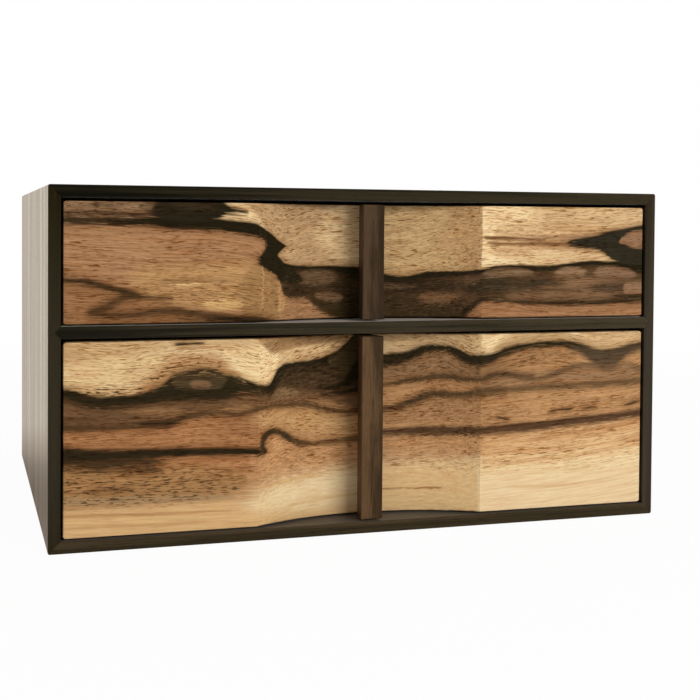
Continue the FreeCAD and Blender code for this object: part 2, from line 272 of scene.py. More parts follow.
def emboss(tree, shader, height, depth_mm):
    """Presses fibres and pores into the surface."""
    relief = add(tree, "Bump")
    set_inputs(relief, {"Strength": 0.5, "Distance": depth_mm * MM})
    join(tree, height, relief.inputs["Height"])
    join(tree, relief.outputs[0], shader.inputs["Normal"])


def dress(node_name, finish):
    """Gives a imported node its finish."""
    node = nodes[node_name]
    node.data.materials.clear()
    node.data.materials.append(finish)


def plain_wood(name, way, tones, pore, fibre_mm, gloss, run_mm=240, drift=0.0):
    """A straight-grained board: growth bands, fibres and open pores, all drawn out along the grain."""
    finish, tree, shader = new_finish(name)
    place = add(tree, "TexCoord").outputs["Object"]
    bands = grain_noise(tree, place, run_mm, fibre_mm * 9, way, 3)
    fibres = grain_noise(tree, place, run_mm / 4, fibre_mm, way, 3, 5.3)
    pores = spread(tree, grain_noise(tree, place, 7, fibre_mm * 0.6, way, 1, 9.1), 0.60, 0.72)
    tone = plus(tree, times(tree, bands, 0.6), times(tree, fibres, 0.4))
    tone = plus(tree, tone, times(tree, parts_of(tree, place)["X"], drift))
    wood = laid_over(tree, spread(tree, tone, 0.36, 0.64), paint(*tones[0]), paint(*tones[1]))
    wood = laid_over(tree, times(tree, pores, 0.5), wood, paint(*pore))
    join(tree, wood, shader.inputs["Base Color"])
    rough = plus(tree, times(tree, fibres, 0.16), gloss - 0.23)
    clouds = grain_noise(tree, place, 500, 26, way, 1, 14.6)
    rough = plus(tree, rough, times(tree, clouds, 0.3))
    join(tree, plus(tree, rough, times(tree, pores, 0.12)), shader.inputs["Roughness"])
    emboss(tree, shader, minus(tree, fibres, pores), 0.03)
    return finish, shader


# The drift makes the top and bottom boards lighter towards their right ends: a painted reflection of the
# light from the right.
for board, way, tones, gloss, drift in (
        ("top_board", ALONG_X, TOP_TONES, CASE_GLOSS, 0.9),
        ("bottom_board", ALONG_X, BOTTOM_TONES, CASE_GLOSS, 0.2),
        ("left_side_board", ALONG_Z, CASE_TONES, SIDE_GLOSS, 0.0),
        ("right_side_board", ALONG_Z, RIGHT_SIDE_PAINTED_REFLECTION_TONES, SIDE_GLOSS, 0.0)):
    finish, shader = plain_wood(board + "_wood", way, tones, CASE_PORE, CASE_FIBRE_MM, gloss, drift=drift)
    specular, sheen = (0.12, 0.15) if way == ALONG_X else (0.26, 0.0)
    set_inputs(shader, {"Specular IOR Level": specular, "Sheen Weight": sheen, "Sheen Roughness": 0.3})
    dress(board, finish)

# ---- Corner splines
# Four thin slips of the same hardwood, one in each corner of the case. Each is glued into a groove across
# the mitre, with its grain along the corner, and keeps the joint from opening.
SPLINE_TONES = ((58, 44, 30), (78, 60, 42))
spline_finish, shader = plain_wood("spline_wood", ALONG_Y, SPLINE_TONES, CASE_PORE, CASE_FIBRE_MM, 0.6)
for level in ("top", "bottom"):
    for side in ("left", "right"):
        dress("corner_spline_" + level + "_" + side, spline_finish)

# ---- Divider
# A rail of the case's wood in front and a thin, plain panel behind it part the two drawers. Both are housed
# in the sides, and the upper drawer runs on them. The rail is oiled, and its tone is painted paler towards
# its right end, a painted reflection of the light from the right.
RAIL_TONES = ((15, 15, 5), (59, 51, 36))
PANEL_TONES = ((150, 118, 80), (184, 150, 106))
PANEL_PORE = (112, 82, 52)
# The drift paints the rail lighter towards its right end: a painted reflection.
finish, shader = plain_wood("rail_wood", ALONG_X, RAIL_TONES, CASE_PORE, CASE_FIBRE_MM, CASE_GLOSS, drift=0.9)
set_inputs(shader, {"Specular IOR Level": 0.12, "Sheen Weight": 0.45, "Sheen Roughness": 0.3,
                    "Sheen Tint": (1.0, 0.9, 0.8, 1)})
dress("divider_rail", finish)
finish, shader = plain_wood("divider_panel_wood", ALONG_X, PANEL_TONES, PANEL_PORE, 0.6, 0.55)
dress("divider_panel", finish)

# ---- Back panel
# A thin board of plain wood, oiled, in grooves around the inside of the case. It is set in from the back
# edges and keeps the case square.
BACK_TONES = ((118, 88, 58), (154, 120, 82))
finish, shader = plain_wood("back_panel_wood", ALONG_X, BACK_TONES, (78, 56, 34), 0.7, 0.5)
dress("back_panel", finish)

# ---- Drawer stops
# Small blocks of pale wood, glued inside the case behind each drawer. A drawer that is pushed in meets them,
# and its front then stands level with the case.
finish, shader = plain_wood("stop_wood", ALONG_X, PANEL_TONES, PANEL_PORE, 0.5, 0.6)
for level in ("upper", "lower"):
    for side in ("left", "right"):
        dress(level + "_stop_" + side, finish)

# ---- Drawer boxes
# Sides and back of pale, straight-grained wood, planed thin and finger jointed at the rear. The bottom is a
# thin board that lies in grooves around the box.
DRAWER_TONES = ((186, 152, 108), (214, 184, 138))
DRAWER_PORE = (140, 104, 66)
for level in ("upper", "lower"):
    for piece in ("left_side", "right_side", "back", "bottom"):
        way = ALONG_Y if "side" in piece else ALONG_X
        finish, shader = plain_wood(level + "_" + piece + "_wood", way, DRAWER_TONES, DRAWER_PORE, 0.5, 0.5)
        dress(level + "_drawer_" + piece, finish)

# ---- Pegs
# Short dowels of a darker wood, glued in from outside and planed flush. They hold the drawer's sides to its
# front and back.
PEG_TONES = ((132, 98, 62), (160, 126, 86))
finish, shader = plain_wood("peg_wood", ALONG_X, PEG_TONES, PANEL_PORE, 0.3, 0.5)
for level in ("upper", "lower"):
    dress(level + "_drawer_pegs", finish)

# ---- Drawer fronts
# Solid boards of pale wood with black heartwood streaks, cut one above the other. Each has a hollow worked
# across its middle for the fingers. The figure goes through the wood, and is given here by the edges of its
# streaks: places along the board and heights, in millimetres from the chest's left end and underside. A few
# streaks are painted light and shade, by the bars and under the rail, and are named so.
CREAM = (227, 202, 159)
HONEY = (214, 176, 125)
TAN = (176, 134, 92)
SALMON = (161, 121, 85)
BARK = (84, 63, 41)
EBONY = (31, 26, 11)
MAUVE = (96, 75, 53)
FINE_PORE = (0.72, 0.61, 0.48, 1)
THREAD_BROWN = (0.86, 0.76, 0.64, 1)
COARSE_PORE = (0.46, 0.34, 0.22, 1)
DARK_FIBRE = (0.30, 0.27, 0.24, 1)
PALE_FIBRE = (0.74, 0.74, 0.74, 1)
LEFT_END = chest_low.x
# A streak that stops short is drawn to a point. One whose colour adds up to little stains the wood beside it.
STREAK_POINT_MM = 1.5
STREAK_REST_MM = 4
STAIN_MM = 1.6
STAIN = (0.50, 0.40, 0.30, 1)
STAIN_SHARE = 0.7
STAIN_BELOW = 170
# How much slower the grain changes with the depth, and how far the streaks' edges wander and fray.
GRAIN_DEPTH = 0.45
SWAY_MM = 1.8
FINE_SWAY_MM = 1.3
FRAY = 2.0
TOP_DRIFT = 3.0
TOP_DRIFT_MEAN = 0.35
TOP_DRIFT_MM = (0.9, 0.1)
# The heights below which the wood has fewer pores and threads; the upper board lies above its own.
UPPER_CALM_MM = 90
LOWER_CALM_MM = 32
CALM_BLUR_MM = 8

# name, colour, strength, blur of the upper and of the lower edge, then (along, upper edge, lower edge), or
# (along, height) where both edges meet in a point.
UPPER_FIGURE = (
    ("duller wood in the hollow, left of the bar", (176, 144, 105), 1.0, 6, 4,
     ((98, 190, 186), (106, 190, 178), (114, 190, 168), (122, 190, 150), (140, 190, 140), (176, 190, 140))),
    ("duller wood in the hollow, right of the bar", (188, 156, 111), 1.0, 6, 4,
     ((176, 190, 140), (200, 190, 140), (232, 190, 140), (238.4, 190, 140))),
    # Painted light: a paler tone that lifts the shadow the bar casts on the hollow at its left.
    ("painted light left of the bar, against its shadow", (226, 194, 148), 0.7, 10, 8,
     ((134, 166), (160, 184, 150), (175, 190, 146))),
    ("duller wood by the right crease", (176, 139, 97), 0.75, 6, 4,
     ((206, 166), (232, 186, 148), (239, 188, 146))),
    ("duller right end", (190, 158, 116), 0.9, 8, 9,
     ((252, 183), (285, 190, 168), (300, 190, 162), (320, 190, 155), (352, 190, 150))),
    ("duller cream over the heart", (182, 146, 102), 0.6, 5, 4,
     ((241, 162), (250, 171, 153), (272, 173, 151), (295, 173, 150), (312, 171, 151), (320, 166, 153),
      (326, 160, 156))),
    ("brown haze before the fork", (148, 112, 78), 0.7, 2.4, 2.4,
     ((258, 161), (272, 164, 158.4), (288, 165.4, 157.6), (300, 165, 157.6), (306, 163, 160))),
    ("salmon field", SALMON, 1.0, 3.6, 4.3,
     ((5, 172, 100), (60, 171, 100), (104, 169, 100), (110, 168, 100), (115, 163, 100), (119, 155, 100),
      (122, 147, 100), (127, 139, 104), (133, 134, 106), (143, 134, 108), (155, 132, 108), (168, 128, 108),
      (175, 124, 110))),
    ("straw field", (180, 142, 92), 0.6, 7, 4,
     ((30, 146), (50, 147, 128), (75, 149, 126), (100, 150, 124), (110, 148, 122), (118, 140, 122),
      (127, 130, 126))),
    ("brown haze at the foot", (108, 79, 50), 0.8, 3, 3,
     ((26, 121, 117), (38, 125, 115), (60, 125, 114), (80, 124, 114), (98, 121.5, 114), (112, 119.5, 114))),
    ("duller wood where the hollow starts", (142, 109, 70), 0.8, 3, 3,
     ((92, 132), (108, 147, 118), (116, 145, 118), (122, 138, 119))),
    ("straw patch", (206, 170, 114), 0.6, 2.4, 2,
     ((74, 128.5), (85, 130.5, 125), (97, 130, 124.5), (102, 127.5, 127))),
    ("ashen top strip", (142, 112, 83), 1.0, 2, 1.4,
     ((5, 190, 172.5), (45, 190, 172.5), (55, 186, 173), (63, 178, 177))),
    ("first thread in the ashen strip", (64, 49, 31), 0.8, 1, 1,
     ((5, 176.2, 175.4), (20, 176.4, 175.2), (40, 175.9, 174.9), (50, 175.2, 174.9))),
    ("second thread in the ashen strip", (78, 60, 41), 0.7, 0.9, 0.9,
     ((10, 179.1), (22, 179.8, 178.8), (36, 179.2, 178.4), (47, 178.6))),
    ("salmon strip below the heart", (152, 112, 78), 1.0, 1.7, 1.7,
     ((222, 120, 112), (232, 123, 112), (240, 129, 112), (260, 127.5, 112), (300, 126.5, 112),
      (350, 128.5, 112))),
    ("smoke by the patch", (84, 65, 43), 0.7, 3, 3,
     ((40, 179), (52, 184, 173), (58, 188, 172), (66, 190, 171), (72, 186, 178))),
    ("brown of the band's left end", (58, 43, 25), 1.0, 2, 2.4,
     ((5, 173.6, 169.8), (30, 173.2, 169.4), (55, 173.4, 168.8), (75, 173, 168.2), (88, 170, 169.8))),
    ("black band", EBONY, 1.0, 1.4, 2,
     ((30, 171.8, 171), (45, 172.2, 170), (55, 173, 169.6), (62, 174, 168.6), (75, 174.2, 167.9),
      (90, 172.6, 166.6), (100, 171.9, 165.4), (106, 171.4, 164.4), (111, 169.9, 163.5), (115, 166, 162),
      (118, 164, 163))),
    ("black patch at the top edge", (35, 29, 15), 1.0, 2.6, 2,
     ((47, 176), (57, 183, 172.4), (62, 190, 171.6), (80, 190, 171.6), (86, 190, 172.2), (89, 186, 173.2),
      (92, 181.6, 175.2), (96, 179.2, 176), (100, 178, 176.2), (104, 176.8, 176.4))),
    ("paler clouds in the patch", (62, 50, 33), 0.45, 3, 4,
     ((58, 180), (68, 186, 177), (78, 187, 177), (84, 184, 178), (92, 180))),
    ("heart", BARK, 1.0, 1.3, 2.2,
     ((119, 145), (124, 148.5, 137), (127, 148.3, 131), (133, 147.6, 130), (140, 147.2, 129),
      (145, 147.2, 125), (150, 147.3, 121.4), (160, 146.8, 118), (168, 146.3, 115), (175, 146, 111),
      (187, 142.4, 108), (197, 141.2, 108), (203, 142, 108), (210, 143.6, 108), (220, 144.2, 110),
      (228, 144.4, 115), (235, 145, 122), (240, 145.8, 127.5), (250, 147.3, 127.8), (262, 147.8, 126.3),
      (280, 147.6, 125.4), (300, 149.4, 125.2), (312, 150.3, 125.3), (325, 150, 125.8), (335, 153, 127),
      (343, 156, 127.5), (350, 157, 127.5))),
    ("ashen lines in the heart", (126, 97, 70), 0.9, 3, 3,
     ((248, 131), (258, 140, 128.5), (285, 140.5, 128), (305, 141, 128.5), (325, 140, 129), (338, 138, 129),
      (350, 140, 129))),
    ("black of the heart, left of the bar", (42, 34, 18), 0.8, 3.6, 3.6,
     ((125, 136, 134), (133, 139, 130), (145, 138.5, 132.5), (152, 140, 134), (158, 142, 132),
      (164, 145, 120), (175, 147, 112))),
    ("olive foot, left of the bar", (52, 42, 22), 0.75, 3, 3,
     ((137, 133), (146, 132, 126), (155, 130, 120), (165, 127, 114), (175, 126, 110))),
    ("black of the heart, right of the bar", (44, 35, 21), 0.85, 3, 3,
     ((182, 143, 132), (192, 140.5, 131), (203, 140.4, 131), (214, 140, 131.5), (224, 138.5, 132.5),
      (231, 136))),
    ("olive foot, right of the bar", (56, 45, 26), 0.8, 3, 3,
     ((182, 133, 108), (200, 130, 108), (215, 129, 110), (225, 128.5, 113), (232, 127.5, 121))),
    ("olive cloud by the crease", (48, 41, 26), 0.85, 3, 3,
     ((222, 136), (232, 139.6, 133), (244, 141.4, 131.4), (258, 141.2, 132), (270, 140.6, 134.4),
      (280, 140.4, 136.8), (290, 139.6))),
    ("russet patch", (124, 90, 60), 0.7, 4, 4,
     ((203, 129), (209, 131.5, 127), (217, 132, 126.6), (225, 131.4, 127.8), (233, 130.5))),
    ("rosy wood by the crease", (98, 74, 54), 0.8, 2.4, 2.4,
     ((228, 141), (232, 143.5, 137), (237, 143.5, 138.5), (240, 142, 141))),
    ("upper rim of the heart", EBONY, 1.0, 1.2, 2,
     ((121, 147.5), (124, 149.2, 145), (130, 147.8, 145), (150, 147.4, 144.8), (168, 146.4, 142),
      (187, 142.4, 139), (197, 141.2, 138.6), (203, 142, 139), (210, 143.6, 140), (220, 144.2, 141),
      (228, 144.5, 141.5), (240, 146, 143), (250, 147.5, 145.6), (262, 148, 145.8), (272, 147.5, 144.6),
      (280, 147.6, 144.5), (290, 148.3, 145.8), (300, 149.6, 146.8), (312, 150.4, 147.6), (325, 150, 147.2),
      (335, 149.6, 145), (350, 149.6, 140))),
    ("lower rim of the heart", EBONY, 0.75, 1.3, 1.3,
     ((230, 122, 120), (235, 126.5, 123), (240, 130, 127.4), (250, 129.3, 127.4), (262, 127.8, 125.8),
      (280, 126.8, 124.8), (300, 126.6, 124.7), (320, 127.2, 125), (350, 128.8, 126.8))),
    ("mauve in the heart, left", MAUVE, 0.8, 2.4, 2.4,
     ((131, 140), (137, 144, 137.5), (145, 144.8, 136.5), (152, 144.5, 137), (158, 143, 139), (163, 141))),
    ("mauve in the heart, low", (112, 86, 61), 0.9, 1.8, 1.8,
     ((142, 131), (148, 132.4, 128.8), (155, 132.2, 127.6), (161, 131, 128), (165, 129.4))),
    ("mauve by the bar", MAUVE, 0.7, 1.4, 1.4, ((180, 137, 134), (195, 136.9, 134.2), (204, 135.6, 135.4))),
    ("first pale lens", (118, 95, 70), 0.95, 1.8, 2.2,
     ((236, 143), (243, 145, 141.8), (255, 146, 142), (268, 145.2, 142.4), (277, 143.3))),
    ("second pale lens", (134, 105, 79), 0.95, 1.8, 2.4,
     ((281, 143), (288, 145.5, 141.6), (296, 146.6, 141.5), (303, 145.8, 141.8), (309, 144))),
    ("third pale lens", (124, 97, 73), 0.95, 1.8, 2.8,
     ((307, 144), (314, 146.4, 141), (322, 147.2, 141), (330, 146.2, 140.5), (337, 143.5, 141),
      (341, 142))),
    ("blot under the second lens", (62, 52, 37), 0.7, 2.2, 2.2,
     ((264, 137), (276, 139.4, 135.8), (286, 139.2, 135.8), (300, 137.6))),
    ("blot under the third lens", (62, 50, 36), 0.75, 2.4, 2.4,
     ((298, 134.6), (312, 136.8, 133.2), (325, 138.2, 132), (333, 137, 132), (341, 134.5))),
    ("dark thread in the heart", EBONY, 0.5, 1, 1,
     ((262, 133), (272, 133.6, 132.6), (285, 133.8, 133), (300, 133.2, 132.4), (310, 132.6))),
    ("pale patch by the right end", (136, 106, 80), 1.0, 1.6, 1.6,
     ((328, 134), (331, 136.8, 131.3), (343, 137.5, 130.6), (350, 137.8, 130.4))),
    ("dark thread by the right end", EBONY, 0.75, 1.2, 1.2,
     ((316, 130), (330, 130.6, 128.4), (343, 130.6, 127.8), (350, 130.8, 127.6))),
    ("first brown thread", (108, 74, 46), 0.95, 1, 1,
     ((238, 163.4), (242, 164.6, 162.6), (252, 164.5, 162.3), (263, 163.8, 162.2), (276, 163.2, 162.2),
      (284, 162.6))),
    ("second brown thread", (118, 84, 54), 0.9, 1, 1,
     ((240, 160.4), (244, 161.2, 159.6), (258, 161.1, 159.5), (275, 161.2, 159.3), (294, 161.2, 159.2),
      (300, 160.6, 160))),
    ("rosy thread over the fork", (170, 132, 98), 0.6, 1.2, 1.2,
     ((245, 165.4), (262, 166.2, 164.8), (285, 165.8, 164.2), (300, 165.6, 164), (312, 166.6, 165.6))),
    ("tan in the fork", (146, 112, 85), 1.0, 1.8, 1.8,
     ((326, 163), (330, 167, 159), (336, 168, 158), (350, 170, 157))),
    ("upper prong", (42, 37, 26), 1.0, 1.2, 1.4,
     ((290, 160.6), (295, 162.2, 159.2), (303, 164.3, 158.3), (312, 165.5, 158), (320, 167.4, 157.5),
      (326, 168.6, 161.5), (331, 169.5, 166), (343, 171.8, 168.4), (350, 173, 169.5))),
    ("lower prong", (42, 37, 26), 1.0, 1.4, 1.6,
     ((304, 160, 159.5), (313, 165, 156.8), (318, 166.5, 154.6), (322, 165.5, 151.6), (326, 162, 149.5),
      (334, 158.8, 148.6), (350, 157, 147.6))),
    ("darker wood about the arrow", (138, 98, 62), 0.7, 7, 3,
     ((5, 139, 110), (20, 139, 110), (38, 137, 110), (52, 131, 110), (66, 124, 112))),
    ("upper arm of the arrow", (58, 42, 21), 0.95, 2, 2.4,
     ((5, 142.5, 139.8), (12, 142, 139.5), (20, 141.3, 138), (30, 138.8, 135.2), (40, 136, 132.2),
      (46, 133.8, 130.6), (52, 132.4, 130.6), (64, 131.2, 131))),
    ("lower arm of the arrow", (72, 52, 30), 0.85, 2.4, 2.6,
     ((15, 123.5), (22, 126, 122.4), (28, 128.6, 124.3), (34, 131.7, 127.3), (40, 134, 130),
      (47, 132.8, 131.6))),
    ("streak under the arrow", (68, 49, 28), 0.9, 2, 3,
     ((15, 123.5), (24, 124.7, 122.2), (34, 123.9, 121.2), (45, 124.3, 121.6), (55, 125.6, 122.4),
      (65, 126.1, 122.8), (74, 124.5, 121.4), (85, 122.5, 119.2), (100, 120.8, 117), (112, 119.8, 116),
      (121, 118, 116))),
    ("its black end", EBONY, 0.8, 1.2, 1.7,
     ((86, 120, 119.8), (96, 121.2, 118.8), (106, 120.8, 118), (116, 119, 118))),
    ("brown dashes", (112, 82, 52), 0.6, 1, 1,
     ((52, 140.4), (60, 141, 139.4), (75, 140.8, 139.6), (97, 140.4, 140.2))),
    ("pale thread", (208, 172, 122), 0.8, 0.9, 0.9,
     ((57, 138.4), (65, 139, 137.8), (78, 138.9, 138), (84, 138.4))),
)
# The same, for streaks that run up the board: name, colour, strength, blur of the right and of the left edge,
# then (height, right edge, left edge).
UPPER_FIGURE_UPRIGHT = (
    ("black zigzag down to the heart", EBONY, 1.0, 1.4, 2,
     ((137, 131), (139, 138, 124), (142, 136, 121.4), (144, 133.5, 118.5), (146, 131, 115),
      (148, 128.5, 111.6), (150, 124.6, 109.8), (152, 123.2, 110), (154, 122.6, 111.6),
      (156.5, 124.6, 113.6), (158.3, 127, 114.6), (160, 125, 114.2), (163, 121, 112.5), (165, 117.5, 109),
      (168, 112, 106), (171, 108))),
    ("pale thread where the hollow starts", (196, 156, 108), 0.4, 0.8, 0.8,
     ((122, 112), (127, 113.2, 112.2), (138, 113.4, 112.4), (147, 113, 112), (150, 112.4))),
    ("second pale thread there", (200, 160, 112), 0.4, 0.8, 0.8,
     ((120, 123), (125, 124, 123), (132, 124.2, 123.2), (139, 123.6, 122.8), (141, 123))),
)
LOWER_FIGURE = (
    ("duller cream of the left end", (210, 177, 128), 0.7, 10, 10,
     ((5, 110, 78), (30, 110, 78), (52, 106, 82), (80, 94))),
    ("tan field", TAN, 1.0, 1.7, 14,
     ((5, 84, 17), (30, 78, 17), (60, 88, 17), (80, 92, 17), (100, 87, 19), (112, 83, 26), (118, 84, 29),
      (128, 93, 31), (140, 94, 32), (160, 100, 34), (175, 104, 35), (187, 97, 36), (205, 99, 37),
      (217, 101, 37), (233, 96, 37), (240, 95, 41), (262, 101, 44), (285, 103, 46.5), (310, 98, 48.5),
      (325, 98, 50), (350, 101, 54))),
    ("salmon field", (167, 119, 79), 0.9, 2.4, 5,
     ((5, 65, 46), (40, 64.5, 40), (70, 67, 37), (100, 69, 36), (112, 70, 42), (120, 71, 56), (130, 70, 60),
      (143, 66, 65))),
    ("duller salmon before the crook", (146, 102, 66), 0.6, 4, 4,
     ((76, 62), (92, 67, 57), (104, 68, 56), (113, 67, 60))),
    ("salmon in the hollow", (188, 143, 99), 0.8, 4, 8,
     ((106, 47, 40), (118, 55, 36), (128, 53, 34), (140, 50, 35), (168, 49.5, 35), (187, 51, 37),
      (215, 52, 38), (236, 52.5, 40), (250, 51.5, 46), (262, 50, 49))),
    ("straw in the hollow", (184, 146, 99), 0.75, 4, 5,
     ((98, 66), (112, 70, 60), (121, 71, 58), (130, 71, 57), (143, 69.5, 56), (155, 66, 54), (168, 64, 53),
      (175, 63, 53))),
    ("dotted brown under the third line", (162, 123, 85), 0.65, 3, 5,
     ((184, 66, 60), (195, 68, 59), (205, 71, 58), (215, 73, 58), (225, 73, 58), (236, 72, 60),
      (246, 70, 65))),
    ("honey foot of the left end", (206, 168, 117), 0.9, 6, 2,
     ((0, 23, 0), (80, 23, 0), (98, 21, 0), (108, 16, 0), (125, 14, 0), (150, 12, 0), (176, 11, 0))),
    ("honey foot right of the bar", (218, 180, 127), 0.8, 8, 2,
     ((178, 34, 0), (200, 34, 0), (220, 34, 0), (238.4, 34, 0))),
    ("honey under the broad brown line", (206, 162, 112), 0.6, 6, 8,
     ((241.2, 50, 34), (262, 51, 35), (300, 54, 38), (352, 58, 42))),
    ("pale foot of the right end", (222, 195, 155), 0.7, 12, 2,
     ((241.2, 26, 0), (262, 27, 0), (300, 30, 0), (352, 32, 0))),
    ("haze over the hump", (174, 131, 86), 0.9, 6, 2,
     ((34, 84), (54, 92, 82), (64, 100, 84), (80, 102, 84), (89, 100, 84), (97, 93, 83), (109, 84))),
    ("bright cream in the notch", (230, 201, 153), 0.8, 3, 3,
     ((82, 101), (102, 106, 91), (107, 106, 87), (113, 105, 85), (117, 103, 86), (121, 101, 92),
      (126, 97))),
    ("duller cream in the hollow", (206, 172, 124), 0.8, 3, 3,
     ((122, 112, 101), (128, 112, 96), (140, 112, 94), (160, 112, 97), (172, 112, 100))),
    ("tan at the top of the hollow", (146, 112, 74), 0.9, 1.6, 2,
     ((109, 112, 110), (113, 112, 105), (117, 112, 101.5), (121, 112, 100.4), (128, 112, 102),
      (140, 112, 103.6), (155, 112, 104.2), (166, 112, 106))),
    ("haze over the waves", (164, 130, 86), 0.7, 4, 2,
     ((239, 97), (252, 105, 98), (264, 110, 100), (285, 110, 101), (300, 107, 100), (318, 97))),
    # Painted shade: a duller tone along the top edge, where the divider rail above shades the front.
    ("painted shade under the divider rail", (178, 142, 98), 0.65, 2, 6,
     ((2, 112, 99), (62, 112, 103), (100, 112, 104), (113, 112, 106), (118, 108), (176, 108),
      (179, 112, 98), (200, 112, 98), (222, 112, 101), (236, 112, 95), (244, 106), (296, 106),
      (306, 112, 95), (320, 112, 93), (335, 112, 95), (352, 112, 97))),
    ("ashen field under the band", (106, 79, 53), 0.95, 1.7, 3.6,
     ((5, 80, 67), (30, 78, 67), (60, 80, 69), (75, 80, 71), (90, 80, 71.5), (110, 81, 72.5), (118, 82, 73),
      (125, 93, 73), (135, 94, 73), (145, 95, 72), (155, 97, 70.5), (162, 101, 69), (175, 110, 66))),
    ("pale lens", (146, 112, 76), 0.7, 2.4, 2.4,
     ((30, 73), (42, 74.8, 70.8), (55, 74.2, 70.4), (70, 72.2, 71.4))),
    ("ashen field right of the bar", (138, 106, 74), 0.85, 2.4, 2.4,
     ((180, 94, 81), (200, 96, 83), (212, 99, 84.5), (222, 98, 85), (232, 93, 84), (240, 93, 84),
      (248, 94, 86), (262, 90, 88))),
    ("paler tan under the long wave", (154, 116, 78), 0.75, 5, 4,
     ((250, 93, 90), (258, 98, 88), (272, 101, 88), (288, 99.5, 89), (300, 96, 92))),
    ("ashen field under the third hill", (134, 104, 76), 0.8, 2.4, 2.4,
     ((240, 84, 79), (255, 88, 79), (275, 87, 79.5), (295, 89, 80), (310, 89, 80), (330, 89, 80),
      (350, 88, 80))),
    ("soft brown", (88, 64, 41), 0.7, 3, 3,
     ((5, 71, 63.5), (30, 70.5, 63.5), (60, 69, 64), (72, 70, 67), (82, 70, 69))),
    ("soft band", (72, 52, 31), 0.9, 2.6, 2.2,
     ((5, 66.4, 63), (30, 65.6, 62.4), (45, 66.2, 63.2), (60, 66.6, 63), (66, 68.5, 64.5), (73, 71, 67),
      (80, 71.6, 68.2), (90, 71.2, 68), (100, 70.6, 67.6), (108, 72, 69), (120, 73.4, 70.4),
      (130, 73.4, 70), (140, 72.6, 69), (147, 70.4, 67), (155, 68, 65.4), (162, 66.6, 64),
      (175, 65.5, 63.5))),
    ("thread on the soft band", EBONY, 0.85, 0.8, 0.8,
     ((40, 65.4), (50, 65.8, 64.8), (62, 65.9, 64.8), (70, 67))),
    ("grey of the heart, left of the bar", (68, 54, 34), 0.9, 1.7, 4.3,
     ((116, 81, 79), (120, 87, 79), (125, 92, 79), (135, 94, 79), (150, 96, 77.5), (160, 99, 77),
      (168, 106, 76), (175, 110, 75))),
    ("first thread in that heart", EBONY, 0.7, 1, 1.4,
     ((121, 83, 82.6), (126, 87.8, 86.4), (133, 90, 88.8), (142, 90.2, 89), (150, 88.8, 87.4),
      (157, 86.4, 85), (163, 84.8, 84))),
    ("second thread in that heart", EBONY, 0.55, 1, 1.4,
     ((127, 84.6, 84.2), (136, 86.2, 85), (145, 85.6, 84.4), (152, 83.2, 82.2))),
    ("pale eddy", (132, 106, 76), 0.65, 2.2, 2,
     ((114, 77), (121, 80.3, 75.2), (128, 80.8, 75.2), (136, 77.6, 77))),
    ("black band, left end to the notch", (40, 33, 16), 1.0, 2, 3.4,
     ((5, 85.2, 79.2), (10, 85, 78.6), (15, 83.6, 76.2), (20, 81.6, 74.4), (30, 80.6, 73.6),
      (40, 80.6, 73.8), (48, 81.6, 74.8), (55, 84, 75.8), (60, 87, 76.3), (64, 90.4, 76.4),
      (70, 92.6, 76.6), (80, 93.8, 76.4), (88, 92.8, 76.2), (92, 90.6, 76.8), (97, 89.8, 78),
      (102, 87.8, 79.2), (107, 85.4, 79.6), (112, 83.6, 79), (117, 83.2, 78.2), (121, 83.5, 80.6))),
    ("brown of the hump", (78, 63, 41), 0.75, 2.4, 2,
     ((62, 86), (66, 90.6, 84), (73, 92, 82.8), (82, 92.2, 82.6), (88, 91, 83), (92, 89, 85), (95, 87.5))),
    ("mauve eye of the hump", (114, 86, 60), 0.9, 1.5, 1.5,
     ((71, 85.4), (75, 87.4, 83.4), (79, 87.6, 83), (83, 86.8, 83.2), (87, 85))),
    ("black band, notch to the bar", EBONY, 0.95, 1.2, 3.3,
     ((116, 81.5, 80), (119, 85.5, 79.5), (122, 91, 84), (126, 93.8, 88.6), (132, 94.3, 91),
      (140, 94.7, 91.4), (147, 95.7, 91.8), (154, 97.2, 92), (160, 99.8, 92), (165, 104.2, 88),
      (170, 109, 84), (175, 112, 80))),
    # Painted light: an olive tone laid over the black band where the bar casts its shadow, to lighten it.
    ("painted light in the bar's shadow", (72, 59, 36), 0.7, 3, 3,
     ((154, 96, 92), (160, 99, 89), (165, 103, 86), (170, 108, 83), (175, 111, 80))),
    ("swirl by the bar", EBONY, 0.95, 1.4, 2.2,
     ((143, 79.5), (150, 80.6, 78.4), (155, 80, 77.8), (160, 80.8, 78), (164, 83.4, 79.2), (168, 89, 81.5),
      (175, 97, 85))),
    ("thread by the bar", EBONY, 0.85, 1.2, 1.4,
     ((150, 75.4, 75.2), (157, 76.6, 75.2), (163, 77.2, 75.2), (168, 78.2, 75.8), (175, 79.2, 77))),
    ("duller wood under the straight line", (157, 118, 75), 0.8, 4, 4,
     ((5, 48, 23), (40, 46, 23), (70, 43, 24), (90, 40, 26), (104, 36, 31))),
    ("smudge under the straight line", (64, 49, 30), 0.9, 2.4, 4.4,
     ((5, 50, 45), (15, 50, 43.8), (25, 49.4, 41.8), (35, 49, 41.8), (45, 48, 42.6), (54, 46.8, 43.6),
      (70, 45.6))),
    ("straight line", (40, 32, 16), 1.0, 2.6, 2.2,
     ((5, 55, 47.2), (15, 54.2, 47.4), (30, 53, 47.2), (50, 52.3, 47.5), (70, 52, 47.3), (90, 51.3, 47),
      (105, 50.3, 46.5), (111, 49.6, 46), (115, 48, 46))),
    ("crook", (62, 47, 28), 1.0, 1.7, 1.7,
     ((112.5, 55, 54), (114.5, 57.2, 53.8), (117, 59, 55.8), (120, 59.4, 56.5), (124, 58.5, 55),
      (128, 56.4, 52.4), (132, 53.6, 49.6), (136, 51.2, 48), (141, 49.8, 48), (146, 49))),
    ("tail of the crook", (90, 66, 40), 0.85, 1.6, 2,
